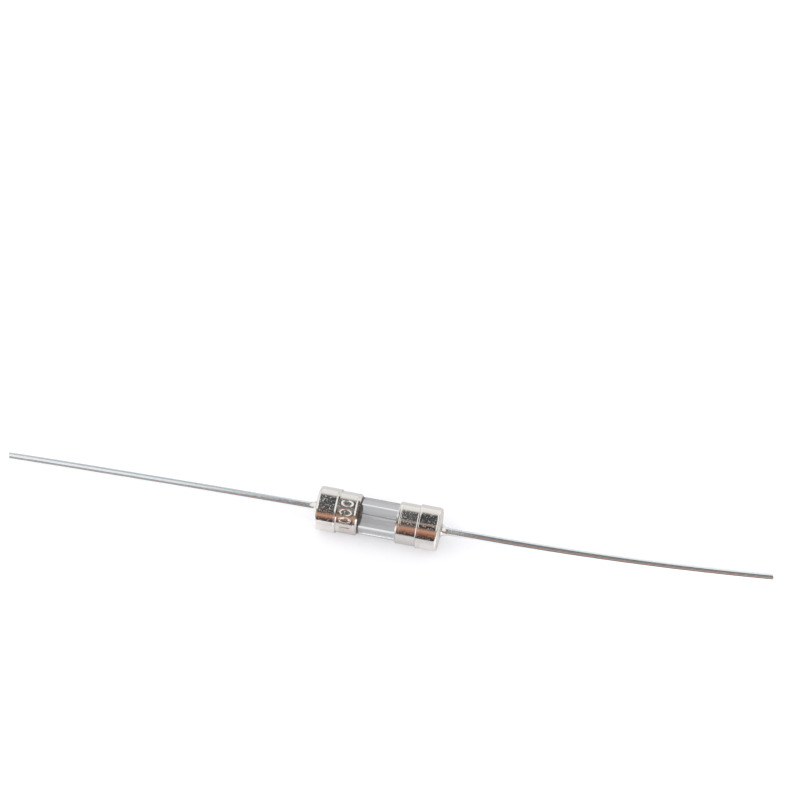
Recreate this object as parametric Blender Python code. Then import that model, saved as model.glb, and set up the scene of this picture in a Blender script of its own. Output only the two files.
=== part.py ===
"""Axial-lead glass cartridge fuse with a 3.6 x 10 mm body, lying on a flat surface.

Lengths are in metres. X runs along the fuse, Z is up, and Z = 0 is the surface that the two
lead caps lie on. The origin is on that surface, midway between the tips of the two leads.
Everything stacks outwards from the glass: solder, ferrule, lead cap, weld and lead.
"""
import math

import bmesh
import bpy
from mathutils import Matrix, Vector

MM = 0.001

# Glass tube
GLASS_LENGTH = 8.16 * MM
GLASS_OUTSIDE = 3.0 * MM
GLASS_WALL = 0.62 * MM
GLASS_EDGE_ROUND = 0.1 * MM

# Solder slug inside each ferrule
SOLDER_THICKNESS = 0.6 * MM
SOLDER_CORNER = 0.1 * MM

# Fuse wire, which lies off the axis by this much, towards +Y, where it enters each slug
WIRE_DIAMETER = 0.1 * MM
WIRE_OFFSET_LEFT = 0.25 * MM
WIRE_OFFSET_RIGHT = 0.11 * MM

# Ferrule: the drawn cup over each end of the glass
FERRULE_WALL = 0.18 * MM
FERRULE_END = 0.14 * MM
FERRULE_DEPTH = 3.29 * MM
FERRULE_CORNER = 0.25 * MM

# Lead cap: the second cup, pressed over the ferrule, its closed end slightly domed
LEAD_CAP_WALL = 0.09 * MM
LEAD_CAP_END = 0.25 * MM
LEAD_CAP_DEPTH = 1.875 * MM
LEAD_CAP_CORNER = 0.2 * MM
LEAD_CAP_DOME = 0.1 * MM

# Open edges of both cups: the round outside, and the narrow flat that it leaves
MOUTH_ROUND = 0.1 * MM
MOUTH_LAND = 0.03 * MM

# Leads: solid wire, each bowed sideways at its tip and swayed midway, towards +Y where positive
LEAD_DIAMETER = 0.6 * MM
LEFT_LEAD_LENGTH = 25.46 * MM
LEFT_LEAD_BOW = -0.6 * MM
LEFT_LEAD_SWAY = -0.1 * MM
RIGHT_LEAD_LENGTH = 26.79 * MM
RIGHT_LEAD_BOW = 1.33 * MM
RIGHT_LEAD_SWAY = -0.02 * MM

# Weld bead: a trumpet of metal round the root of each lead
WELD_FOOT = 0.3 * MM
WELD_LENGTH = 0.55 * MM
WELD_LIP = 0.03 * MM

# Clearances, each on one side only
SEAT_CLEARANCE = 0.01 * MM
GLASS_CLEARANCE = 0.02 * MM
PRESS_CLEARANCE = 0.01 * MM
SOLDER_CLEARANCE = 0.01 * MM
WIRE_CLEARANCE = 0.02 * MM
WELD_CLEARANCE = 0.01 * MM

# Facets: turned pieces have flats at their true radius, one of them facing down
SIDES = 24
WIRE_SIDES = 12
LEAD_RESOLUTION = 4
ARC_STEPS = 3
DOME_STEPS = 3
WELD_STEPS = 6
WELD_START_ANGLE = math.radians(20)
LEAD_STEPS = 16
SHARP_ANGLE = math.radians(40)
MERGE_DISTANCE = 0.0001 * MM

# Radii that follow from the fits
glass_radius = GLASS_OUTSIDE / 2
glass_bore = glass_radius - GLASS_WALL
ferrule_bore = glass_radius + GLASS_CLEARANCE
ferrule_radius = ferrule_bore + FERRULE_WALL
lead_cap_bore = ferrule_radius + PRESS_CLEARANCE
lead_cap_radius = lead_cap_bore + LEAD_CAP_WALL
solder_radius = ferrule_bore - SOLDER_CLEARANCE
lead_radius = LEAD_DIAMETER / 2
weld_bore = lead_radius + WELD_CLEARANCE
wire_radius = WIRE_DIAMETER / 2

# Places along the axis, from the middle of the glass outwards
solder_face = GLASS_LENGTH / 2 + SEAT_CLEARANCE
solder_back = solder_face + SOLDER_THICKNESS
ferrule_face = solder_back + SEAT_CLEARANCE + FERRULE_END
lead_cap_face = ferrule_face + SEAT_CLEARANCE + LEAD_CAP_END
lead_root = lead_cap_face + SEAT_CLEARANCE
glass_middle = (LEFT_LEAD_LENGTH - RIGHT_LEAD_LENGTH) / 2

for old in list(bpy.data.objects):
    bpy.data.objects.remove(old)

fuse = bpy.data.objects.new("fuse", None)
fuse.location = (glass_middle, 0, lead_cap_radius)
bpy.context.scene.collection.objects.link(fuse)


def finish(name, colour, roughness, metallic=1.0, transmission=0.0):
    """A Principled material with the finish of one kind of piece."""
    material = bpy.data.materials.new(name)
    material.use_nodes = True
    shader = material.node_tree.nodes["Principled BSDF"]
    shader.inputs["Base Color"].default_value = (*colour, 1.0)
    shader.inputs["Roughness"].default_value = roughness
    shader.inputs["Metallic"].default_value = metallic
    shader.inputs["Transmission Weight"].default_value = transmission
    return material


def place(name, data, x=0.0, facing_left=False):
    """Put one named piece on the fuse's axis."""
    piece = bpy.data.objects.new(name, data)
    piece.parent = fuse
    piece.location = (x, 0, 0)
    piece.rotation_euler = (0, 0, math.pi if facing_left else 0)
    bpy.context.scene.collection.objects.link(piece)
    return piece


def shaded_mesh(name, work, material):
    """A smooth mesh with crisp edges, from the bmesh that it was worked in."""
    mesh = bpy.data.meshes.new(name)
    work.to_mesh(mesh)
    work.free()
    mesh.materials.append(material)
    mesh.shade_smooth()
    mesh.set_sharp_from_angle(angle=SHARP_ANGLE)
    return mesh


def quarter_round(centre_x, centre_r, radius, start, end):
    """Points (x, r) along an arc, with its start and end in degrees from +X towards +r."""
    points = []
    for step in range(ARC_STEPS + 1):
        angle = math.radians(start + (end - start) * step / ARC_STEPS)
        points.append((centre_x + radius * math.cos(angle), centre_r + radius * math.sin(angle)))
    return points


def turned(name, outline, material):
    """A mesh turned about X from an outline of (x, r) points.

    The outline is a closed loop, or it starts and ends on the axis.
    """
    half_side = math.pi / SIDES
    corner = Vector((0, math.sin(half_side), -math.cos(half_side))) / math.cos(half_side)
    work = bmesh.new()
    ring = [work.verts.new(Vector((x, 0, 0)) + corner * r) for x, r in outline]
    edges = [work.edges.new(pair) for pair in zip(ring, ring[1:])]
    if outline[0][1] > 0:
        edges.append(work.edges.new((ring[-1], ring[0])))
    bmesh.ops.spin(work, geom=ring + edges, cent=(0, 0, 0), axis=(1, 0, 0),
                   angle=2 * math.pi, steps=SIDES, use_duplicate=False)
    bmesh.ops.remove_doubles(work, verts=work.verts, dist=MERGE_DISTANCE)
    bmesh.ops.recalc_face_normals(work, faces=work.faces)
    return shaded_mesh(name, work, material)


def cup(name, radius, bore, depth, end, dome, corner, bore_corner, material):
    """A drawn cup with x = 0 on the outside of its closed end and its mouth at x = -depth."""
    lip = min(MOUTH_ROUND, radius - bore - MOUTH_LAND)
    outline = [(0, 0)]
    if dome > 0:
        for step in range(1, DOME_STEPS):
            share = step / DOME_STEPS
            outline.append((-dome * share ** 2, (radius - corner) * share))
    outline += quarter_round(-dome - corner, radius - corner, corner, 0, 90)
    outline += quarter_round(lip - depth, radius - lip, lip, 90, 180)
    outline += [(-depth, bore)]
    outline += quarter_round(-end - bore_corner, bore - bore_corner, bore_corner, 90, 0)
    outline += [(-end, 0)]
    return turned(name, outline, material)


def tube(name, material):
    """The glass: a cut tube with both cut edges melted round, inside and outside."""
    edge = min(GLASS_EDGE_ROUND, GLASS_WALL / 2 - MERGE_DISTANCE)
    right = GLASS_LENGTH / 2 - edge
    outline = quarter_round(right, glass_radius - edge, edge, 0, 90)
    outline += quarter_round(-right, glass_radius - edge, edge, 90, 180)
    outline += quarter_round(-right, glass_bore + edge, edge, 180, 270)
    outline += quarter_round(right, glass_bore + edge, edge, 270, 360)
    return turned(name, outline, material)


def slug(name, material):
    """A disc with x = 0 on the face that meets the glass, rounded to fill the ferrule's corner."""
    outline = [(0, 0), (0, solder_radius)]
    outline += quarter_round(SOLDER_THICKNESS - SOLDER_CORNER, solder_radius - SOLDER_CORNER,
                             SOLDER_CORNER, 90, 0)
    outline += [(SOLDER_THICKNESS, 0)]
    return turned(name, outline, material)


def bead(name, material):
    """A ring with x = 0 on the lead cap's face, hollow-sided from its wide foot to the lead."""
    neck = weld_bore + WELD_LIP
    side = []
    for step in range(WELD_STEPS + 1):
        angle = WELD_START_ANGLE + (math.pi / 2 - WELD_START_ANGLE) * step / WELD_STEPS
        side.append((WELD_LENGTH * (1 - math.cos(angle)), neck + WELD_FOOT * (1 - math.sin(angle))))
    outline = [(0, weld_bore), (0, side[0][1])] + side + [(WELD_LENGTH, weld_bore)]
    return turned(name, outline, material)


def rod(name, start, end, radius, material):
    """A straight round bar between two points."""
    along = end - start
    turn = along.to_track_quat("Z", "Y").to_matrix().to_4x4()
    work = bmesh.new()
    bmesh.ops.create_cone(work, segments=WIRE_SIDES, radius1=radius, radius2=radius,
                          depth=along.length, cap_ends=True,
                          matrix=Matrix.Translation((start + end) / 2) @ turn)
    return shaded_mesh(name, work, material)


def lead(name, side, length, bow, sway, material):
    """A solid wire, straight out of the weld and then bowed sideways, cut off square."""
    free = length - WELD_LENGTH
    route = [(side * lead_root, 0)]
    for step in range(LEAD_STEPS + 1):
        share = step / LEAD_STEPS
        x = side * (lead_root + WELD_LENGTH + free * share)
        route.append((x, bow * share ** 2 + sway * math.sin(math.pi * share)))
    curve = bpy.data.curves.new(name, "CURVE")
    curve.dimensions = "3D"
    curve.bevel_depth = lead_radius
    curve.bevel_resolution = LEAD_RESOLUTION
    curve.use_fill_caps = True
    curve.materials.append(material)
    spline = curve.splines.new("POLY")
    spline.points.add(len(route) - 1)
    for point, (x, y) in zip(spline.points, route):
        point.co = (x, y, 0, 1)
    return curve


clear_glass = finish("clear_glass", (0.95, 0.96, 0.97), 0.02, metallic=0.0, transmission=1.0)
nickel = finish("nickel_plated_brass", (0.78, 0.74, 0.68), 0.12)
tin = finish("tinned_copper", (0.76, 0.75, 0.73), 0.25)
weld_metal = finish("weld_metal", (0.80, 0.79, 0.77), 0.2)
solder = finish("solder", (0.55, 0.55, 0.56), 0.35)
wire_metal = finish("fuse_wire_metal", (0.45, 0.42, 0.40), 0.3)

place("glass_tube", tube("glass_tube", clear_glass))

wire_left = Vector((-solder_back, WIRE_OFFSET_LEFT, 0))
wire_right = Vector((solder_back, WIRE_OFFSET_RIGHT, 0))
place("fuse_wire", rod("fuse_wire", wire_left, wire_right, wire_radius, wire_metal))

# The slugs are cast round the wire, so a fatter and longer wire cuts their holes
overrun = (wire_right - wire_left).normalized() * SOLDER_THICKNESS
hole = place("wire_hole", rod("wire_hole", wire_left - overrun, wire_right + overrun,
                              wire_radius + WIRE_CLEARANCE, wire_metal))
hole.hide_render = True
hole.display_type = "WIRE"

slug_mesh = slug("solder_slug", solder)
ferrule_mesh = cup("ferrule", ferrule_radius, ferrule_bore, FERRULE_DEPTH, FERRULE_END,
                   0.0, FERRULE_CORNER, SOLDER_CORNER, nickel)
lead_cap_mesh = cup("lead_cap", lead_cap_radius, lead_cap_bore, LEAD_CAP_DEPTH, LEAD_CAP_END,
                    LEAD_CAP_DOME, LEAD_CAP_CORNER, FERRULE_CORNER, nickel)
bead_mesh = bead("weld_bead", weld_metal)

ends = (("left", -1, LEFT_LEAD_LENGTH, LEFT_LEAD_BOW, LEFT_LEAD_SWAY),
        ("right", 1, RIGHT_LEAD_LENGTH, RIGHT_LEAD_BOW, RIGHT_LEAD_SWAY))
for end, side, lead_length, lead_bow, lead_sway in ends:
    facing_left = side < 0
    slug_piece = place(end + "_solder", slug_mesh, side * solder_face, facing_left)
    cut = slug_piece.modifiers.new("wire_hole", "BOOLEAN")
    cut.operation = "DIFFERENCE"
    cut.object = hole
    place(end + "_ferrule", ferrule_mesh, side * ferrule_face, facing_left)
    place(end + "_lead_cap", lead_cap_mesh, side * lead_cap_face, facing_left)
    place(end + "_lead_weld", bead_mesh, side * lead_root, facing_left)
    place(end + "_lead", lead(end + "_lead", side, lead_length, lead_bow, lead_sway, tin))
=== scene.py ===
import math

import bmesh
import bpy
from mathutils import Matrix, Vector


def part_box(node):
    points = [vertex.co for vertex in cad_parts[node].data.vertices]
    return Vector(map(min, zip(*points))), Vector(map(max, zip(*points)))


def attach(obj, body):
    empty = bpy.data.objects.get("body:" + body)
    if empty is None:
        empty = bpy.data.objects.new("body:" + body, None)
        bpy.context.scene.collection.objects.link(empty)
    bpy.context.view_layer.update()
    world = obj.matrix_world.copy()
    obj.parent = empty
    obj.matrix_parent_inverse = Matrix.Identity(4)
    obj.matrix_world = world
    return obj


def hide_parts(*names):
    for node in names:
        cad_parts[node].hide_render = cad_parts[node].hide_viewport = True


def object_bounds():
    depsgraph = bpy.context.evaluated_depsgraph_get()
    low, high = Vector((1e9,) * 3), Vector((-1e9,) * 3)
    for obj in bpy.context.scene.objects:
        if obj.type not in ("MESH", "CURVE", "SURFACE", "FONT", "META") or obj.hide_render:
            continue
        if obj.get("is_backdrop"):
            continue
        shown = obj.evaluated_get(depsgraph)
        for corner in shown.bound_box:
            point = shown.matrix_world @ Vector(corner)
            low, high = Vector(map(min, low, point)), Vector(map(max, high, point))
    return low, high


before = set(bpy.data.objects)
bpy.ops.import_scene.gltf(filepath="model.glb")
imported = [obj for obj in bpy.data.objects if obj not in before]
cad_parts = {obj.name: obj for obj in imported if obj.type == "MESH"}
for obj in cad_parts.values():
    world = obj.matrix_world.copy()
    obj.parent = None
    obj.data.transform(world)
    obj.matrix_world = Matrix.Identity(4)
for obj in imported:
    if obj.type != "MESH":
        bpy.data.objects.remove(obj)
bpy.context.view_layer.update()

# Glass tube. Clear soda-lime tubing, drawn and cut to length, its cut ends melted round in a
# flame. It is the window on the fuse wire, and both ferrules are fixed over its ends.
MM = 0.001
ROUND_SIDES = 160
SMOOTH_ANGLE = math.radians(32)
RING_REACH = 0.004 * MM
GLASS_WALL = 0.62 * MM
GLASS_EDGE_ROUND = 0.1 * MM
GLASS_EDGE_STEPS = 5

glass_low, glass_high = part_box("glass_tube")
glass_radius = (glass_high.z - glass_low.z) / 2
glass_middle = (glass_low.x + glass_high.x) / 2
axis_height = (glass_low.z + glass_high.z) / 2


def linear(hex_colour):
    """The linear colour of an sRGB hex value."""
    shares = [int(hex_colour[place:place + 2], 16) / 255 for place in (1, 3, 5)]
    return [c / 12.92 if c <= 0.04045 else ((c + 0.055) / 1.055) ** 2.4 for c in shares] + [1.0]


def add_node(tree, kind, links=None, **settings):
    """One node with its settings, and its sockets set to values or linked to other sockets."""
    made = tree.nodes.new(kind)
    for name, value in settings.items():
        setattr(made, name, value)
    for socket, value in (links or {}).items():
        if isinstance(value, bpy.types.NodeSocket):
            tree.links.new(value, made.inputs[socket])
        else:
            made.inputs[socket].default_value = value
    return made


def new_material(name):
    """An empty node material, with its tree and the socket that takes its shader."""
    material = bpy.data.materials.new(name)
    material.use_nodes = True
    material.node_tree.nodes.clear()
    output = add_node(material.node_tree, "ShaderNodeOutputMaterial")
    return material, material.node_tree, output.inputs["Surface"]


def off_axis(place):
    """How far a point lies from the fuse's axis."""
    return math.hypot(place.y, place.z - axis_height)


def on_ring(x, radius):
    """A test for points on one ring about the fuse's axis."""
    return lambda place: abs(place.x - x) < RING_REACH and abs(off_axis(place) - radius) < RING_REACH


def pick(kind, test):
    """Select the edges or faces of the open mesh whose corners and middle all pass the test."""
    bpy.ops.mesh.select_mode(type=kind)
    bpy.ops.mesh.select_all(action="DESELECT")
    mesh = bpy.context.edit_object.data
    work = bmesh.from_edit_mesh(mesh)
    for item in (work.edges if kind == "EDGE" else work.faces):
        corners = [corner.co for corner in item.verts]
        middle = sum(corners, Vector()) / len(corners)
        if all(test(place) for place in corners + [middle]):
            item.select_set(True)
    bmesh.update_edit_mesh(mesh)


def finish_mesh(piece, material):
    """Close edit mode, and leave the piece smooth with crisp edges and in its material."""
    bpy.ops.mesh.select_all(action="SELECT")
    bpy.ops.mesh.normals_make_consistent(inside=False)
    bpy.ops.object.mode_set(mode="OBJECT")
    bpy.ops.object.shade_smooth_by_angle(angle=SMOOTH_ANGLE)
    piece.data.materials.clear()
    piece.data.materials.append(material)


# Drawn soda-lime glass: clear, with the faint lengthwise draw lines that make its highlights waver
GLASS_TINT = "#F8F9FA"
GLASS_IOR = 1.52
DRAW_LINE_WIDTH = 0.25 * MM
DRAW_LINE_LENGTH = 6 * MM
DRAW_LINE_DEPTH = 0.002 * MM
drawn_glass, tree, surface = new_material("drawn_soda_lime_glass")
place = add_node(tree, "ShaderNodeTexCoord").outputs["Object"]
stretch = add_node(tree, "ShaderNodeMapping", {
    "Vector": place, "Scale": (1 / DRAW_LINE_LENGTH, 1 / DRAW_LINE_WIDTH, 1 / DRAW_LINE_WIDTH)})
draw_lines = add_node(tree, "ShaderNodeTexNoise", {
    "Vector": stretch.outputs["Vector"], "Scale": 1.0, "Detail": 2.0})
waver = add_node(tree, "ShaderNodeBump", {
    "Height": draw_lines.outputs["Fac"], "Strength": 1.0, "Distance": DRAW_LINE_DEPTH})
shader = add_node(tree, "ShaderNodeBsdfPrincipled", {
    "Base Color": linear(GLASS_TINT), "Roughness": 0.0, "IOR": GLASS_IOR, "Transmission Weight": 1.0,
    "Normal": waver.outputs["Normal"]})
tree.links.new(shader.outputs["BSDF"], surface)

bpy.ops.object.select_all(action="DESELECT")
bpy.ops.mesh.primitive_cylinder_add(
    vertices=ROUND_SIDES, radius=glass_radius, depth=glass_high.x - glass_low.x,
    location=(glass_middle, 0, axis_height), rotation=(0, math.pi / 2, 0))
bpy.ops.object.transform_apply(location=True, rotation=True, scale=True)
glass = bpy.context.object
glass.name = "clear_glass_tube"
bpy.ops.object.mode_set(mode="EDIT")
pick("FACE", lambda place: not glass_low.x + GLASS_EDGE_ROUND < place.x < glass_high.x - GLASS_EDGE_ROUND)
bpy.ops.mesh.inset(thickness=GLASS_WALL)
bpy.ops.mesh.bridge_edge_loops()
for radius in (glass_radius, glass_radius - GLASS_WALL):
    left_ring = on_ring(glass_low.x, radius)
    right_ring = on_ring(glass_high.x, radius)
    pick("EDGE", lambda place: left_ring(place) or right_ring(place))
    bpy.ops.mesh.bevel(offset=GLASS_EDGE_ROUND, segments=GLASS_EDGE_STEPS, affect="EDGES")
# A ring close to each rounded end keeps the shading of the straight wall even
for x in (glass_low.x + 2 * GLASS_EDGE_ROUND, glass_high.x - 2 * GLASS_EDGE_ROUND):
    bpy.ops.mesh.select_all(action="SELECT")
    bpy.ops.mesh.bisect(plane_co=(x, 0, 0), plane_no=(1, 0, 0))
finish_mesh(glass, drawn_glass)
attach(glass, "root")
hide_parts("glass_tube")

# Fuse wire. A thin drawn alloy wire, pulled through the tube and soldered at both ends, slightly
# off the axis. It is the piece that melts.
WIRE_SIDES = 16
WIRE_STEPS = 24
WIRE_KINK = 0.012 * MM
WIRE_KINK_SWING = 11
wire_low, wire_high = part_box("fuse_wire")
wire_radius = (wire_high.z - wire_low.z) / 2

# Drawn fuse alloy: silvery grey, with fine lengthwise streaks
ALLOY_TONES = ("#989A99", "#BCBEBD")
ALLOY_ROUGHNESS = 0.42
ALLOY_STREAK_WIDTH = 0.05 * MM
ALLOY_STREAK_LENGTH = 0.5 * MM
fuse_alloy, tree, surface = new_material("drawn_fuse_alloy")
place = add_node(tree, "ShaderNodeTexCoord").outputs["Object"]
stretch = add_node(tree, "ShaderNodeMapping", {
    "Vector": place, "Scale": (1 / ALLOY_STREAK_LENGTH, 1 / ALLOY_STREAK_WIDTH, 1 / ALLOY_STREAK_WIDTH)})
streaks = add_node(tree, "ShaderNodeTexNoise", {
    "Vector": stretch.outputs["Vector"], "Scale": 1.0, "Detail": 3.0})
tone = add_node(tree, "ShaderNodeMix", {
    "Factor": streaks.outputs["Fac"], "A": linear(ALLOY_TONES[0]), "B": linear(ALLOY_TONES[1])},
    data_type="RGBA")
shader = add_node(tree, "ShaderNodeBsdfPrincipled", {
    "Base Color": tone.outputs["Result"], "Metallic": 1.0, "Roughness": ALLOY_ROUGHNESS})
tree.links.new(shader.outputs["BSDF"], surface)


def begin_disc(name, centre, radius, sides):
    """A round disc facing along the axis, open in edit mode and picked, ready to be drawn out."""
    bpy.ops.object.select_all(action="DESELECT")
    bpy.ops.mesh.primitive_circle_add(vertices=sides, radius=radius, fill_type="NGON",
                                      location=centre, rotation=(0, math.pi / 2, 0))
    bpy.ops.object.transform_apply(location=True, rotation=True, scale=True)
    bpy.context.object.name = name
    bpy.ops.object.mode_set(mode="EDIT")
    bpy.ops.mesh.select_mode(type="FACE")
    return bpy.context.object


def draw_out(rings):
    """Extrude the picked disc from ring to ring, each given by its centre and its radius."""
    for (here, old_radius), (there, radius) in zip(rings, rings[1:]):
        bpy.ops.mesh.extrude_region_move(TRANSFORM_OT_translate={"value": there - here})
        wider = radius / old_radius
        bpy.ops.transform.resize(value=(1, wider, wider), center_override=there)


rings = []
for step in range(WIRE_STEPS + 1):
    share = step / WIRE_STEPS
    x = wire_low.x + (wire_high.x - wire_low.x) * share
    y = (wire_high.y - wire_radius) * (1 - share) + (wire_low.y + wire_radius) * share
    kink = WIRE_KINK * math.sin(WIRE_KINK_SWING * share) * math.sin(math.pi * share)
    rings.append((Vector((x, y + kink, axis_height - kink)), wire_radius))
wire = begin_disc("fusible_wire", *rings[0], WIRE_SIDES)
draw_out(rings)
finish_mesh(wire, fuse_alloy)
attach(wire, "root")
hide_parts("fuse_wire")

# Solder slugs. Tin solder melted into the closed end of each ferrule, where it wets the glass and
# the fuse wire and sets with a dished face.
ROUND_STEPS = 8
SOLDER_CORNER = 0.1 * MM
SOLDER_RIM = 0.35 * MM
SOLDER_DISH = (0.06 * MM, 0.1 * MM)

# Cast tin solder: satin grey with a frosty grain
SOLDER_TONES = ("#A9AAAC", "#CFD0D1")
SOLDER_ROUGHNESS = 0.38
SOLDER_GRAIN = 0.15 * MM
SOLDER_GRAIN_DEPTH = 0.01 * MM
cast_solder, tree, surface = new_material("cast_tin_solder")
place = add_node(tree, "ShaderNodeTexCoord").outputs["Object"]
grain = add_node(tree, "ShaderNodeTexNoise", {
    "Vector": place, "Scale": 1 / SOLDER_GRAIN, "Detail": 3.0})
tone = add_node(tree, "ShaderNodeMix", {
    "Factor": grain.outputs["Fac"], "A": linear(SOLDER_TONES[0]), "B": linear(SOLDER_TONES[1])},
    data_type="RGBA")
frost = add_node(tree, "ShaderNodeBump", {
    "Height": grain.outputs["Fac"], "Strength": 1.0, "Distance": SOLDER_GRAIN_DEPTH})
shader = add_node(tree, "ShaderNodeBsdfPrincipled", {
    "Base Color": tone.outputs["Result"], "Metallic": 1.0, "Roughness": SOLDER_ROUGHNESS,
    "Normal": frost.outputs["Normal"]})
tree.links.new(shader.outputs["BSDF"], surface)


def ring(x, radius):
    """A ring about the fuse's axis, as draw_out takes it."""
    return Vector((x, 0, axis_height)), radius


def round_rings(x, radius, along, across, start, end):
    """Rings round part of an ellipse, between angles in degrees from the way that along points."""
    rings = []
    for step in range(ROUND_STEPS + 1):
        turn = math.radians(start + (end - start) * step / ROUND_STEPS)
        rings.append(ring(x + along * math.cos(turn), radius + across * math.sin(turn)))
    return rings


for end, side in (("left", -1), ("right", 1)):
    node = end + "_solder"
    low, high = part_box(node)
    radius = (high.z - low.z) / 2
    inner, outer = (low.x, high.x) if side > 0 else (high.x, low.x)
    rings = [ring(outer, radius - SOLDER_RIM)]
    rings += round_rings(outer - side * SOLDER_CORNER, radius - SOLDER_CORNER,
                         side * SOLDER_CORNER, SOLDER_CORNER, 0, 90)
    rings += [ring(inner, radius), ring(inner + side * SOLDER_DISH[0], radius - SOLDER_RIM),
              ring(inner + side * SOLDER_DISH[1], radius - 2 * SOLDER_RIM)]
    slug = begin_disc(end + "_solder_slug", *rings[0], ROUND_SIDES)
    draw_out(rings)
    finish_mesh(slug, cast_solder)
    wire_hole = slug.modifiers.new("wire_hole", "BOOLEAN")
    wire_hole.operation = "DIFFERENCE"
    wire_hole.object = wire
    bpy.ops.object.modifier_apply(modifier="wire_hole")
    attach(slug, "root")
    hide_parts(node)

# Ferrules. Deep-drawn brass cups, nickel plated, pushed over the ends of the glass. Their open
# edges are belled out a little, and the left one has a number punched in its side.
FERRULE_WALL = 0.18 * MM
FERRULE_END = 0.14 * MM
FERRULE_CORNER = 0.25 * MM
FERRULE_LIP = (0.14 * MM, 0.13 * MM)
FLARE_LENGTH = 0.13 * MM
FLARE_HEIGHT = 0.018 * MM
GROOVE_LENGTH = 0.1 * MM
GROOVE_DEPTH = 0.003 * MM
CREST_LENGTH = 0.04 * MM
BORE_ROUND = 0.015 * MM
HOLDING_RING = 0.02 * MM
NUMBER = "1000"
NUMBER_START = math.radians(13)
DIGIT_PITCH = math.radians(25)
DIGIT_HEIGHT = 0.88 * MM
DIGIT_WIDTH = 0.46 * MM
ONE_STROKES = ((-0.6, 0.6), (0.2, 1.0), (0.2, -1.0))
ZERO_STEPS = 28
STROKE_HALF_WIDTH = 0.08 * MM
STROKE_SLOPE = 0.5
STROKE_EDGE = math.radians(15)

# The plate itself, and how dull it is on the ferrules
NICKEL_TONES = ("#E6E2DB", "#F0EDE8")
CLOUD_SIZE = 1.4 * MM
CLOUD_HAZE = (0.6, 1.4)
SPECK_SIZE = 0.12 * MM
SPECK_DEPTH = 0.001 * MM
SPECK_RANGE = (0.55, 0.72)
BORE_EDGE = (0.03 * MM, 0.02 * MM)
BORE_DULLNESS = 0.55
BORE_METALLIC = 0.5
FERRULE_DULLNESS = 0.11
FERRULE_SPECK_DULLNESS = 0.26


def nickel_plate(name, dullness, speck_dullness):
    """Nickel plate on drawn brass: a warm mirror, clouded here and there, with scattered dull specks.

    The specks are drawn at 0.12 mm, coarser than real ones, so that they show. The bore is matt, from
    tin that crept in when the fuse was soldered.
    """
    plate, tree, surface = new_material(name)
    place = add_node(tree, "ShaderNodeTexCoord").outputs["Object"]
    clouds = add_node(tree, "ShaderNodeTexNoise", {
        "Vector": place, "Scale": 1 / CLOUD_SIZE, "Detail": 3.0})
    tone = add_node(tree, "ShaderNodeMix", {
        "Factor": clouds.outputs["Fac"], "A": linear(NICKEL_TONES[0]), "B": linear(NICKEL_TONES[1])},
        data_type="RGBA")
    haze = add_node(tree, "ShaderNodeMapRange", {
        "Value": clouds.outputs["Fac"], "To Min": CLOUD_HAZE[0] * dullness,
        "To Max": CLOUD_HAZE[1] * dullness})
    grit = add_node(tree, "ShaderNodeTexNoise", {
        "Vector": place, "Scale": 1 / SPECK_SIZE, "Detail": 2.0})
    specks = add_node(tree, "ShaderNodeMapRange", {
        "Value": grit.outputs["Fac"], "From Min": SPECK_RANGE[0], "From Max": SPECK_RANGE[1]})
    outside = add_node(tree, "ShaderNodeMath", {
        0: specks.outputs["Result"], 1: speck_dullness, 2: haze.outputs["Result"]}, operation="MULTIPLY_ADD")
    across = add_node(tree, "ShaderNodeVectorMath", {
        0: place, 1: (0, 1, 1), 2: (0, 0, -axis_height)}, operation="MULTIPLY_ADD")
    from_axis = add_node(tree, "ShaderNodeVectorMath", {0: across.outputs[0]}, operation="LENGTH")
    in_bore = add_node(tree, "ShaderNodeMapRange", {
        "Value": from_axis.outputs["Value"], "From Min": glass_radius + BORE_EDGE[0],
        "From Max": glass_radius + BORE_EDGE[1]})
    inside = add_node(tree, "ShaderNodeMath", {
        0: in_bore.outputs["Result"], 1: BORE_DULLNESS}, operation="MULTIPLY")
    rough = add_node(tree, "ShaderNodeMath", {
        0: outside.outputs[0], 1: inside.outputs[0]}, operation="MAXIMUM")
    metallic = add_node(tree, "ShaderNodeMapRange", {
        "Value": in_bore.outputs["Result"], "To Min": 1.0, "To Max": BORE_METALLIC})
    pits = add_node(tree, "ShaderNodeBump", {
        "Height": specks.outputs["Result"], "Strength": 1.0, "Distance": SPECK_DEPTH}, invert=True)
    shader = add_node(tree, "ShaderNodeBsdfPrincipled", {
        "Base Color": tone.outputs["Result"], "Metallic": metallic.outputs["Result"],
        "Roughness": rough.outputs[0], "Normal": pits.outputs["Normal"]})
    tree.links.new(shader.outputs["BSDF"], surface)
    return plate


def swept_rings(x, radius, end_x, end_radius):
    """Rings along a gentle S from one radius to another."""
    rings = []
    for step in range(1, ROUND_STEPS + 1):
        share = step / ROUND_STEPS
        rise = (1 - math.cos(math.pi * share)) / 2
        rings.append(ring(x + (end_x - x) * share, radius + (end_radius - radius) * rise))
    return rings


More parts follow.
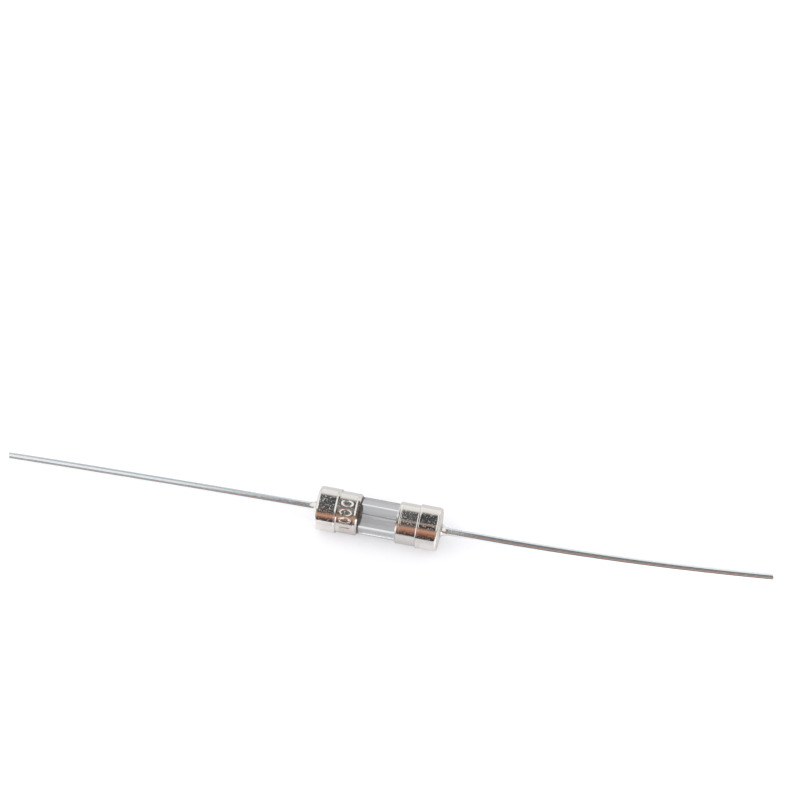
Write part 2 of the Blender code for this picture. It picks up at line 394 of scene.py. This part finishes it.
def drawn_cup(name, node, wall, end_thickness, dome, corner, groove, lip, material):
    """A drawn cup in the place of a CAD node: hollow, with a domed end and a belled mouth."""
    low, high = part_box(node)
    body = (high.z - low.z) / 2 - FLARE_HEIGHT
    bore = body + FLARE_HEIGHT - wall
    side = math.copysign(1, low.x)
    mouth, closed = (low.x, high.x) if side > 0 else (high.x, low.x)
    rings = []
    for step in range(1, ROUND_STEPS):
        share = step / ROUND_STEPS
        rings.append(ring(closed - side * dome * share ** 2, (body - corner) * share))
    shoulder = closed - side * (dome + corner)
    rings += round_rings(shoulder, body - corner, side * corner, corner, 0, 90)
    crest = mouth + side * (lip[0] + CREST_LENGTH)
    foot = crest + side * FLARE_LENGTH
    # Rings close to both ends of the straight wall keep its shading even
    rings += [ring(shoulder - side * HOLDING_RING, body),
              ring(foot + side * (GROOVE_LENGTH + HOLDING_RING), body)]
    rings += swept_rings(foot + side * GROOVE_LENGTH, body, foot, body - groove)
    rings += swept_rings(foot, body - groove, crest, body + FLARE_HEIGHT)
    rings += [ring(mouth + side * lip[0], body + FLARE_HEIGHT), ring(mouth, body + FLARE_HEIGHT - lip[1]),
              ring(mouth, bore + BORE_ROUND), ring(mouth + side * BORE_ROUND, bore),
              ring(closed - side * end_thickness, bore)]
    cup = begin_disc(name, *rings[0], ROUND_SIDES)
    draw_out(rings)
    finish_mesh(cup, material)
    return cup, body


def punch_digit(digit, cup, radius, number_x, angle):
    """Cut one digit into the side of a cup, as a V groove of one stroke width."""
    strokes = bpy.data.curves.new("digit_punch", "CURVE")
    strokes.dimensions = "3D"
    strokes.bevel_depth = STROKE_HALF_WIDTH
    strokes.bevel_resolution = 0
    strokes.use_fill_caps = True
    outline = ONE_STROKES
    if digit == "0":
        turns = [2 * math.pi * step / ZERO_STEPS for step in range(ZERO_STEPS)]
        outline = [(math.cos(turn), math.sin(turn)) for turn in turns]
    spline = strokes.splines.new("POLY")
    spline.use_cyclic_u = digit == "0"
    spline.points.add(len(outline) - 1)
    for point, (across, up) in zip(spline.points, outline):
        point.co = (across * DIGIT_WIDTH / 2, up * DIGIT_HEIGHT / 2, 0, 1)
    bpy.ops.object.select_all(action="DESELECT")
    punch = bpy.data.objects.new("digit_punch", strokes)
    bpy.context.scene.collection.objects.link(punch)
    bpy.context.view_layer.objects.active = punch
    punch.select_set(True)
    bpy.ops.object.convert(target="MESH")
    for corner in punch.data.vertices:
        across, up, out = corner.co
        turn = angle + across / radius
        reach = radius + STROKE_SLOPE * out
        corner.co = (number_x - up, -reach * math.cos(turn), axis_height + reach * math.sin(turn))
    bpy.context.view_layer.objects.active = cup
    cut = cup.modifiers.new("punched_digit", "BOOLEAN")
    cut.operation = "DIFFERENCE"
    cut.object = punch
    bpy.ops.object.modifier_apply(modifier="punched_digit")
    bpy.data.objects.remove(punch)


ferrule_plate = nickel_plate("ferrule_nickel_plate", FERRULE_DULLNESS, FERRULE_SPECK_DULLNESS)
for end in ("left", "right"):
    node = end + "_ferrule"
    ferrule, radius = drawn_cup(end + "_nickel_ferrule", node, FERRULE_WALL, FERRULE_END, 0.0, FERRULE_CORNER,
                                GROOVE_DEPTH, FERRULE_LIP, ferrule_plate)
    if end == "left":
        wall_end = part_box(node)[1].x - FERRULE_LIP[0] - CREST_LENGTH - FLARE_LENGTH
        number_x = (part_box("left_lead_cap")[1].x + wall_end) / 2
        for count, digit in enumerate(NUMBER):
            punch_digit(digit, ferrule, radius, number_x, NUMBER_START + count * DIGIT_PITCH)
        bpy.ops.object.select_all(action="DESELECT")
        ferrule.select_set(True)
        bpy.ops.object.shade_smooth_by_angle(angle=STROKE_EDGE)
    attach(ferrule, "root")
    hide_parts(node)

# Lead caps. Shorter drawn cups of the same plated brass, pressed over the closed halves of the
# ferrules. Each carries a lead, welded to the middle of its slightly domed end.
LEAD_CAP_WALL = 0.09 * MM
LEAD_CAP_END = 0.25 * MM
LEAD_CAP_DOME = 0.1 * MM
LEAD_CAP_CORNER = 0.2 * MM
LEAD_CAP_LIP = (0.08 * MM, 0.07 * MM)
LEAD_CAP_DULLNESS = 0.06
LEAD_CAP_SPECK_DULLNESS = 0.34

bright_plate = nickel_plate("bright_nickel_plate", LEAD_CAP_DULLNESS, LEAD_CAP_SPECK_DULLNESS)
for end in ("left", "right"):
    node = end + "_lead_cap"
    lead_cap, radius = drawn_cup(end + "_nickel_lead_cap", node, LEAD_CAP_WALL, LEAD_CAP_END, LEAD_CAP_DOME,
                                 LEAD_CAP_CORNER, 0.0, LEAD_CAP_LIP, bright_plate)
    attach(lead_cap, "root")
    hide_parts(node)

# Leads. Solid copper wire, drawn and hot-tinned, butt-welded to the lead caps and cropped at the
# far end. Each is bowed a little sideways from being handled.
LEAD_SIDES = 48
LEAD_STEPS = 64
LEAD_BEND_START = 0.55 * MM
LEFT_LEAD_BOW = -0.6 * MM
LEFT_LEAD_SWAY = -0.1 * MM
RIGHT_LEAD_BOW = 1.33 * MM
RIGHT_LEAD_SWAY = -0.02 * MM
CROP_ROUND = 0.03 * MM
CROP_SLANT = math.radians(14)

# Hot-tinned copper: silver grey under a thin film of oxide, with lengthwise drawing lines and small
# dull specks, and frosted by heat next to the right weld. The specks are drawn at 0.14 mm, coarser
# than real ones, so that they show.
TIN_TONES = ("#DAE1E4", "#F0F5F7")
OXIDE_FILM = 0.1
TIN_LINE_WIDTH = 0.06 * MM
TIN_LINE_LENGTH = 3 * MM
TIN_LINE_DEPTH = 0.0015 * MM
TIN_SPECK_SIZE = 0.14 * MM
TIN_SPECK_RANGE = (0.4, 0.75)
TIN_DULLNESS = (0.09, 0.2)
HEAT_REACH = (9 * MM, 5.5 * MM)
HEAT_DULLNESS = 0.18
tinned_copper, tree, surface = new_material("hot_tinned_copper")
place = add_node(tree, "ShaderNodeTexCoord").outputs["Object"]
stretch = add_node(tree, "ShaderNodeMapping", {
    "Vector": place, "Scale": (1 / TIN_LINE_LENGTH, 1 / TIN_LINE_WIDTH, 1 / TIN_LINE_WIDTH)})
lines = add_node(tree, "ShaderNodeTexNoise", {
    "Vector": stretch.outputs["Vector"], "Scale": 1.0, "Detail": 2.0})
specks = add_node(tree, "ShaderNodeTexNoise", {
    "Vector": place, "Scale": 1 / TIN_SPECK_SIZE, "Detail": 2.0})
tone = add_node(tree, "ShaderNodeMix", {
    "Factor": specks.outputs["Fac"], "A": linear(TIN_TONES[0]), "B": linear(TIN_TONES[1])},
    data_type="RGBA")
dullness = add_node(tree, "ShaderNodeMapRange", {
    "Value": specks.outputs["Fac"], "From Min": TIN_SPECK_RANGE[0], "From Max": TIN_SPECK_RANGE[1],
    "To Min": TIN_DULLNESS[0], "To Max": TIN_DULLNESS[1]})
along = add_node(tree, "ShaderNodeSeparateXYZ", {"Vector": place}).outputs["X"]
from_glass = add_node(tree, "ShaderNodeMath", {0: along, 1: glass_middle}, operation="SUBTRACT")
heat = add_node(tree, "ShaderNodeMapRange", {
    "Value": from_glass.outputs[0], "From Min": HEAT_REACH[0], "From Max": HEAT_REACH[1],
    "To Max": HEAT_DULLNESS}, interpolation_type="SMOOTHSTEP")
on_right = add_node(tree, "ShaderNodeMath", {0: from_glass.outputs[0], 1: 0.0}, operation="GREATER_THAN")
rough = add_node(tree, "ShaderNodeMath", {
    0: on_right.outputs[0], 1: heat.outputs["Result"], 2: dullness.outputs["Result"]},
    operation="MULTIPLY_ADD")
line_relief = add_node(tree, "ShaderNodeBump", {
    "Height": lines.outputs["Fac"], "Strength": 1.0, "Distance": TIN_LINE_DEPTH})
shader = add_node(tree, "ShaderNodeBsdfPrincipled", {
    "Base Color": tone.outputs["Result"], "Metallic": 1 - OXIDE_FILM, "Roughness": rough.outputs[0],
    "Normal": line_relief.outputs["Normal"]})
tree.links.new(shader.outputs["BSDF"], surface)

for end, side, bow, sway in (("left", -1, LEFT_LEAD_BOW, LEFT_LEAD_SWAY),
                             ("right", 1, RIGHT_LEAD_BOW, RIGHT_LEAD_SWAY)):
    node = end + "_lead"
    low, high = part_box(node)
    radius = (high.z - low.z) / 2
    root, tip = (low.x, high.x) if side > 0 else (high.x, low.x)
    bend_start = root + side * LEAD_BEND_START
    tip -= side * (CROP_ROUND + radius * math.tan(CROP_SLANT))
    rings = [ring(root, radius)]
    for step in range(LEAD_STEPS + 1):
        share = step / LEAD_STEPS
        x = bend_start + (tip - bend_start) * share
        y = bow * share ** 2 + sway * math.sin(math.pi * share)
        rings.append((Vector((x, y, axis_height)), radius))
    lead = begin_disc(end + "_tinned_lead", *rings[0], LEAD_SIDES)
    draw_out(rings)
    bpy.ops.transform.rotate(value=-CROP_SLANT, orient_axis="Z", center_override=rings[-1][0])
    draw_out([rings[-1], (rings[-1][0] + Vector((side * CROP_ROUND, 0, 0)), radius - CROP_ROUND)])
    finish_mesh(lead, tinned_copper)
    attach(lead, "root")
    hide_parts(node)

# Weld beads. Metal squeezed out round the root of each lead as it was butt-welded to its cap,
# drawn by the heat into a bright, slightly lumpy trumpet.
WELD_FOOT = 0.3 * MM
WELD_START_DEGREES = 20
WELD_NECK_WALL = 0.012 * MM
WELD_BORE_GAP = 0.003 * MM
WELD_FACE_REACH = 0.0003 * MM
LUMP_SIZE = 0.35 * MM
LUMP_HEIGHT = 0.03 * MM

# Fused weld metal: bright silver, smooth from melting, with a slight ripple
WELD_TONES = ("#DEDEDC", "#F4F4F2")
WELD_ROUGHNESS = 0.24
RIPPLE_SIZE = 0.2 * MM
RIPPLE_DEPTH = 0.006 * MM
weld_metal, tree, surface = new_material("fused_weld_metal")
place = add_node(tree, "ShaderNodeTexCoord").outputs["Object"]
ripple = add_node(tree, "ShaderNodeTexNoise", {
    "Vector": place, "Scale": 1 / RIPPLE_SIZE, "Detail": 2.0})
tone = add_node(tree, "ShaderNodeMix", {
    "Factor": ripple.outputs["Fac"], "A": linear(WELD_TONES[0]), "B": linear(WELD_TONES[1])},
    data_type="RGBA")
relief = add_node(tree, "ShaderNodeBump", {
    "Height": ripple.outputs["Fac"], "Strength": 1.0, "Distance": RIPPLE_DEPTH})
shader = add_node(tree, "ShaderNodeBsdfPrincipled", {
    "Base Color": tone.outputs["Result"], "Metallic": 1.0, "Roughness": WELD_ROUGHNESS,
    "Normal": relief.outputs["Normal"]})
tree.links.new(shader.outputs["BSDF"], surface)

weld_lumps = bpy.data.textures.new("weld_lumps", "CLOUDS")
weld_lumps.noise_scale = LUMP_SIZE
lead_low, lead_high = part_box("right_lead")
weld_bore = (lead_high.z - lead_low.z) / 2 + WELD_BORE_GAP
neck_radius = weld_bore + WELD_NECK_WALL
for end, side in (("left", -1), ("right", 1)):
    node = end + "_lead_weld"
    low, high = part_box(node)
    foot, neck = (low.x, high.x) if side > 0 else (high.x, low.x)
    rings = round_rings(neck, neck_radius + WELD_FOOT, foot - neck, -WELD_FOOT, WELD_START_DEGREES, 90)
    foot_radius = rings[0][1]
    rings = [ring(foot, foot_radius)] + rings
    bead = begin_disc(end + "_weld_bead", *rings[0], ROUND_SIDES)
    draw_out(rings)
    for x, radius in ((foot, foot_radius), (neck, neck_radius)):
        pick("FACE", lambda place: abs(place.x - x) < WELD_FACE_REACH)
        bpy.ops.mesh.inset(thickness=radius - weld_bore)
    ends = (foot, neck)
    pick("FACE", lambda place: (min(abs(place.x - x) for x in ends) < WELD_FACE_REACH and
                                off_axis(place) < weld_bore + WELD_BORE_GAP))
    bpy.ops.mesh.bridge_edge_loops()
    finish_mesh(bead, weld_metal)
    outside = bead.vertex_groups.new(name="outside")
    outside.add([corner.index for corner in bead.data.vertices
                 if off_axis(corner.co) > weld_bore + WELD_BORE_GAP
                 and abs(corner.co.x - foot) > WELD_BORE_GAP], 1.0, "REPLACE")
    lumps = bead.modifiers.new("lumps", "DISPLACE")
    lumps.texture = weld_lumps
    lumps.vertex_group = "outside"
    lumps.mid_level = 0.0
    lumps.strength = LUMP_HEIGHT
    bpy.ops.object.modifier_apply(modifier="lumps")
    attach(bead, "root")
    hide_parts(node)

# Floor. A sweep of matt white paper that takes the fuse's soft shadow. What the camera, the metal
# and the glass see of it is lifted towards white, each by amounts of its own. Through the glass the
# paper shows darker, a painted shade, and brighter in front of the fuse, a painted light. In the
# metal it carries painted pools of light beside the leads, in front of the caps and far to the right,
# and the paper ends in front of the fuse, farther out at the right, in a dark colour beyond.
FLOOR_SIZE = 4.0
PAPER_TONES = ("#BEBDC1", "#C2C1C5")
PAPER_FIBRE = 0.4 * MM
# A darker paper colour for what is seen through the glass: painted shade
PAINTED_SHADE_THROUGH_GLASS = "#5F5E61"
BEYOND_PAPER = "#433B40"
LIFT_TO_CAMERA = 0.42
# Light painted on the paper for what is seen through the glass, brighter in front of the fuse
PAINTED_LIGHT_THROUGH_GLASS = (0.4, 0.78)
LIFT_TO_METAL = 0.08
# Painted pools of light on the paper, seen only in the metal: beside the leads, in front of the caps, and far
# to the right
PAINTED_LIGHT_BY_LEADS = 0.32
PAINTED_LIGHT_BY_CAPS = 0.2
PAINTED_LIGHT_FAR_RIGHT = 0.3
# Where on the floor something begins, and where it has come in full
GLASS_FRONT = (-1.5 * MM, -2.2 * MM)
BY_LEADS = (5 * MM, 7 * MM)
BEFORE_LEADS = (1 * MM, 0.0)
BY_CAPS = (3 * MM, 3.6 * MM)
BEFORE_CAPS = (-0.6 * MM, -1.2 * MM)
NEAR_CAPS = (-7 * MM, -3 * MM)
FAR_RIGHT = (9 * MM, 20 * MM)
PAPER_EDGE = (-21 * MM, -27 * MM)
PAPER_EDGE_SLANT = 15 * MM
bpy.ops.object.select_all(action="DESELECT")
bpy.ops.mesh.primitive_plane_add(size=FLOOR_SIZE)
floor = bpy.context.object
floor.name = "paper_floor"

# Matt white paper with only a trace of fibre, even to the camera, with painted shade and painted light in
# what the glass and the metal see of it
paper, tree, surface = new_material("matt_white_paper")
place = add_node(tree, "ShaderNodeTexCoord").outputs["Object"]
fibres = add_node(tree, "ShaderNodeTexNoise", {"Vector": place, "Scale": 1 / PAPER_FIBRE})
tone = add_node(tree, "ShaderNodeMix", {
    "Factor": fibres.outputs["Fac"], "A": linear(PAPER_TONES[0]), "B": linear(PAPER_TONES[1])},
    data_type="RGBA")
rays = add_node(tree, "ShaderNodeLightPath").outputs
# For rays through the glass the paper turns darker: painted shade
shade = add_node(tree, "ShaderNodeMix", {
    "Factor": rays["Is Transmission Ray"], "A": tone.outputs["Result"], "B": linear(PAINTED_SHADE_THROUGH_GLASS)},
    data_type="RGBA")
matt = add_node(tree, "ShaderNodeBsdfDiffuse", {"Color": shade.outputs["Result"]})
spot = add_node(tree, "ShaderNodeSeparateXYZ", {"Vector": place}).outputs
# Painted light on the paper for rays through the glass, rising towards the front of the fuse
light_painted_through_glass = add_node(tree, "ShaderNodeMapRange", {
    "Value": spot["Y"], "From Min": GLASS_FRONT[0], "From Max": GLASS_FRONT[1],
    "To Min": PAINTED_LIGHT_THROUGH_GLASS[0], "To Max": PAINTED_LIGHT_THROUGH_GLASS[1]})
from_origin = add_node(tree, "ShaderNodeMath", {0: spot["X"]}, operation="ABSOLUTE").outputs[0]
from_glass = add_node(tree, "ShaderNodeMath", {0: spot["X"], 1: glass_middle}, operation="SUBTRACT")
from_glass = add_node(tree, "ShaderNodeMath", {0: from_glass.outputs[0]}, operation="ABSOLUTE").outputs[0]
# The painted pools of light are added to the even lift that the metal sees
lift_and_painted_light_to_metal = LIFT_TO_METAL
for lift, fades in ((PAINTED_LIGHT_BY_LEADS, ((from_origin, BY_LEADS), (spot["Y"], BEFORE_LEADS))),
                    (PAINTED_LIGHT_BY_CAPS, ((from_glass, BY_CAPS), (spot["Y"], BEFORE_CAPS), (spot["Y"], NEAR_CAPS))),
                    (PAINTED_LIGHT_FAR_RIGHT, ((spot["X"], FAR_RIGHT),))):
    for value, (begin, full) in fades:
        lift = add_node(tree, "ShaderNodeMapRange", {
            "Value": value, "From Min": begin, "From Max": full, "To Max": lift}).outputs["Result"]
    lift_and_painted_light_to_metal = add_node(tree, "ShaderNodeMath", {0: lift_and_painted_light_to_metal, 1: lift}, operation="ADD").outputs[0]
by_either = add_node(tree, "ShaderNodeMath", {
    0: rays["Is Glossy Ray"], 1: rays["Is Transmission Ray"]}, operation="MAXIMUM")
to_either = add_node(tree, "ShaderNodeMapRange", {
    "Value": rays["Is Transmission Ray"], "To Min": lift_and_painted_light_to_metal, "To Max": light_painted_through_glass.outputs["Result"]})
to_either = add_node(tree, "ShaderNodeMath", {
    0: by_either.outputs[0], 1: to_either.outputs["Result"]}, operation="MULTIPLY")
lift = add_node(tree, "ShaderNodeMath", {
    0: rays["Is Camera Ray"], 1: LIFT_TO_CAMERA, 2: to_either.outputs[0]}, operation="MULTIPLY_ADD")
white = add_node(tree, "ShaderNodeEmission", {"Strength": lift.outputs[0]})
lifted = add_node(tree, "ShaderNodeAddShader", {0: matt.outputs["BSDF"], 1: white.outputs["Emission"]})
by_metal = add_node(tree, "ShaderNodeMath", {
    0: rays["Is Glossy Ray"], 1: rays["Is Transmission Ray"]}, operation="SUBTRACT")
slant = add_node(tree, "ShaderNodeMapRange", {
    "Value": spot["X"], "From Min": FAR_RIGHT[0], "From Max": FAR_RIGHT[1], "To Max": PAPER_EDGE_SLANT})
slanted = add_node(tree, "ShaderNodeMath", {0: spot["Y"], 1: slant.outputs["Result"]}, operation="ADD")
past_edge = add_node(tree, "ShaderNodeMapRange", {
    "Value": slanted.outputs[0], "From Min": PAPER_EDGE[0], "From Max": PAPER_EDGE[1],
    "To Max": by_metal.outputs[0]})
beyond = add_node(tree, "ShaderNodeEmission", {"Color": linear(BEYOND_PAPER)})
cut_off = add_node(tree, "ShaderNodeMixShader", {
    0: past_edge.outputs["Result"], 1: lifted.outputs["Shader"], 2: beyond.outputs["Emission"]})
tree.links.new(cut_off.outputs["Shader"], surface)
floor.data.materials.append(paper)
floor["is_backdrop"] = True

# Light. A white tent all round, open low in the front, low at the right and in a gap over the fuse
# that the camera looks in by, with a soft sun through its cloth. Only the metal and the glass see
# what lies outside the front and the gap.
HALF_TURN = 180
OPENING_RADIUS = 350 * MM
OPENING_REACH = 700 * MM
OPENING_SIDES = 96
# The colours outside, by the degrees from the front horizon over the top to the back one
OUTSIDE_BANDS = (
    (0, "#453A3D"), (8, "#52403B"), (18, "#785445"), (30, "#B07B66"), (40, "#D8A488"),
    (48, "#A78877"), (55, "#695A54"), (61, "#3F3533"), (68, "#434041"), (90, "#494B4F"),
    (128, "#444446"), (137, "#898989"), (147, "#F4F4F4"), (180, "#FFFFFF"))
PALE_BAND_COLOUR = "#B19C92"
BACK_GREY_COLOUR = "#B0B6BA"
FRONT_OPEN = 0.8
LEFT_SLIDE = 16
BACK_SLIDE = 22
# Where something begins, and where it has come in full, in the same degrees or along the fuse
FRONT_TOP = (58, 50)
GAP_LEFT = (-61 * MM, -49 * MM)
GAP_RIGHT = (95 * MM, 75 * MM)
LEFT_SLIDE_OVER = (-32 * MM, -45 * MM)
LEFT_SLIDE_RISE = (0, 24)
LEFT_SLIDE_FALL = (100, 40)
BACK_SLIDE_OVER = (-15 * MM, 5 * MM)
BACK_SLIDE_RISE = (100, 118)
PALE_BAND_RISE = (66, 76)
PALE_BAND_FALL = (86, 76)
PALE_BAND_LEFT = (-42 * MM, -35 * MM)
BACK_GREY_RISE = (112, 140)
BACK_GREY_LEFT = (-115 * MM, -105 * MM)
BACK_GREY_RIGHT = (-52 * MM, -62 * MM)
bpy.ops.object.select_all(action="DESELECT")
bpy.ops.mesh.primitive_cylinder_add(
    vertices=OPENING_SIDES, radius=OPENING_RADIUS, depth=2 * OPENING_REACH, end_fill_type="NOTHING",
    rotation=(0, math.pi / 2, 0))
bpy.ops.object.transform_apply(location=True, rotation=True, scale=True)
opening = bpy.context.object
opening.name = "tent_opening"
bpy.ops.object.mode_set(mode="EDIT")
bpy.ops.mesh.select_all(action="SELECT")
bpy.ops.mesh.bisect(plane_co=(0, 0, MM), plane_no=(0, 0, 1), clear_inner=True)
bpy.ops.object.mode_set(mode="OBJECT")
opening.visible_camera = False
opening.visible_diffuse = False
opening.visible_shadow = False
opening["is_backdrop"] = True

# View out of the tent: bands from brown low in the front to dark overhead and white behind. At the
# left they sit lower, and at the right the white comes farther forward. Beside the openings nothing
# hides the tent's own cloth.
view_out, tree, surface = new_material("view_out_of_tent")
place = add_node(tree, "ShaderNodeTexCoord").outputs["Object"]
part = add_node(tree, "ShaderNodeSeparateXYZ", {"Vector": place}).outputs
forward = add_node(tree, "ShaderNodeMath", {0: part["Y"], 1: -1.0}, operation="MULTIPLY")
turn = add_node(tree, "ShaderNodeMath", {0: part["Z"], 1: forward.outputs[0]}, operation="ARCTAN2")
height = add_node(tree, "ShaderNodeMath", {0: turn.outputs[0]}, operation="DEGREES").outputs[0]
slid = height
for slide, fades in (
        (LEFT_SLIDE, ((part["X"], LEFT_SLIDE_OVER), (height, LEFT_SLIDE_RISE), (height, LEFT_SLIDE_FALL))),
        (BACK_SLIDE, ((part["X"], BACK_SLIDE_OVER), (height, BACK_SLIDE_RISE)))):
    for value, (begin, full) in fades:
        slide = add_node(tree, "ShaderNodeMapRange", {
            "Value": value, "From Min": begin, "From Max": full, "To Max": slide}).outputs["Result"]
    slid = add_node(tree, "ShaderNodeMath", {0: slid, 1: slide}, operation="ADD").outputs[0]
way_over = add_node(tree, "ShaderNodeMath", {0: slid, 1: HALF_TURN}, operation="DIVIDE")
bands = add_node(tree, "ShaderNodeValToRGB", {"Fac": way_over.outputs[0]})
stops = bands.color_ramp.elements
while len(stops) < len(OUTSIDE_BANDS):
    stops.new(1.0)
for stop, (degrees, colour) in zip(stops, OUTSIDE_BANDS):
    stop.position = degrees / HALF_TURN
    stop.color = linear(colour)
rays = add_node(tree, "ShaderNodeLightPath").outputs
by_metal = add_node(tree, "ShaderNodeMath", {
    0: rays["Is Glossy Ray"], 1: rays["Is Transmission Ray"]}, operation="SUBTRACT", use_clamp=True)
places = []
for amount, fades in (
        (1.0, ((height, PALE_BAND_RISE), (height, PALE_BAND_FALL), (part["X"], PALE_BAND_LEFT))),
        (by_metal.outputs[0], ((height, BACK_GREY_RISE), (part["X"], BACK_GREY_LEFT),
                               (part["X"], BACK_GREY_RIGHT))),
        (1.0, ((part["X"], GAP_LEFT), (part["X"], GAP_RIGHT))),
        (FRONT_OPEN, ((height, FRONT_TOP),))):
    for value, (begin, full) in fades:
        amount = add_node(tree, "ShaderNodeMapRange", {
            "Value": value, "From Min": begin, "From Max": full, "To Max": amount},
            interpolation_type="SMOOTHSTEP").outputs["Result"]
    places.append(amount)
in_pale_band, in_back_grey, in_gap, low_in_front = places
scenery = bands.outputs["Color"]
for amount, colour in ((in_pale_band, PALE_BAND_COLOUR), (in_back_grey, BACK_GREY_COLOUR)):
    scenery = add_node(tree, "ShaderNodeMix", {
        "Factor": amount, "A": scenery, "B": linear(colour)}, data_type="RGBA").outputs["Result"]
is_open = in_gap
for amount in (low_in_front, in_back_grey):
    is_open = add_node(tree, "ShaderNodeMath", {0: is_open, 1: amount}, operation="MAXIMUM").outputs[0]
outside = add_node(tree, "ShaderNodeEmission", {"Color": scenery})
cloth = add_node(tree, "ShaderNodeBsdfTransparent")
edge = add_node(tree, "ShaderNodeMixShader", {
    0: is_open, 1: cloth.outputs["BSDF"], 2: outside.outputs["Emission"]})
tree.links.new(edge.outputs["Shader"], surface)
opening.data.materials.append(view_out)

# White tent cloth: even, brighter at the sides for what it lights, and brown where it is open at
# the right
TENT_COLOUR = "#FFFFFF"
TENT_STRENGTH = 1.0
TENT_SIDE_STRENGTH = 1.35
TENT_SIDE = (0.2, 0.5)
TENT_DOOR_COLOUR = "#5A4A3C"
TENT_DOOR = (0.55, 0.72)
TENT_DOOR_TOP = (0.36, 0.26)
world = bpy.data.worlds.new("light_tent")
bpy.context.scene.world = world
world.use_nodes = True
tree = world.node_tree
way = add_node(tree, "ShaderNodeTexCoord").outputs["Generated"]
way = add_node(tree, "ShaderNodeSeparateXYZ", {"Vector": way}).outputs
aside = add_node(tree, "ShaderNodeMath", {0: way["X"]}, operation="ABSOLUTE")
rays = add_node(tree, "ShaderNodeLightPath").outputs
side_strength = add_node(tree, "ShaderNodeMapRange", {
    "Value": rays["Is Glossy Ray"], "To Min": TENT_SIDE_STRENGTH, "To Max": TENT_STRENGTH})
strength = add_node(tree, "ShaderNodeMapRange", {
    "Value": aside.outputs[0], "From Min": TENT_SIDE[0], "From Max": TENT_SIDE[1],
    "To Min": TENT_STRENGTH, "To Max": side_strength.outputs["Result"]})
in_door = 1.0
for value, (begin, full) in ((way["X"], TENT_DOOR), (way["Z"], TENT_DOOR_TOP)):
    in_door = add_node(tree, "ShaderNodeMapRange", {
        "Value": value, "From Min": begin, "From Max": full, "To Max": in_door},
        interpolation_type="SMOOTHSTEP").outputs["Result"]
wall = add_node(tree, "ShaderNodeMix", {
    "Factor": in_door, "A": linear(TENT_COLOUR), "B": linear(TENT_DOOR_COLOUR)}, data_type="RGBA")
tent = tree.nodes["Background"].inputs
tree.links.new(wall.outputs["Result"], tent["Color"])
tree.links.new(strength.outputs["Result"], tent["Strength"])

SUN_STRENGTH = 0.7
SUN_SOFTNESS = math.radians(50)
SUN_FROM = Vector((-0.8, -0.3, 1.0))
bpy.ops.object.light_add(type="SUN", rotation=SUN_FROM.to_track_quat("Z", "Y").to_euler())
sun = bpy.context.object
sun.name = "soft_sun"
sun.data.energy = SUN_STRENGTH
sun.data.angle = SUN_SOFTNESS
sun.visible_glossy = False

# Camera. It looks down on the fuse from the front, a little from the right.
CAMERA_AZIMUTH = math.radians(12.04)
CAMERA_ELEVATION = math.radians(60)
CAMERA_DISTANCE = 350 * MM
CAMERA_LENS = 193
CAMERA_NEAR = 10 * MM
AIM = Vector((-1.295 * MM, 11.11 * MM, axis_height))
to_camera = Vector((math.sin(CAMERA_AZIMUTH) * math.cos(CAMERA_ELEVATION),
                    -math.cos(CAMERA_AZIMUTH) * math.cos(CAMERA_ELEVATION), math.sin(CAMERA_ELEVATION)))
bpy.ops.object.camera_add(location=AIM + to_camera * CAMERA_DISTANCE,
                          rotation=to_camera.to_track_quat("Z", "Y").to_euler())
camera = bpy.context.object
camera.data.lens = CAMERA_LENS
camera.data.clip_start = CAMERA_NEAR
bpy.context.scene.camera = camera
bpy.context.scene.view_settings.view_transform = "Standard"

low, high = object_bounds()
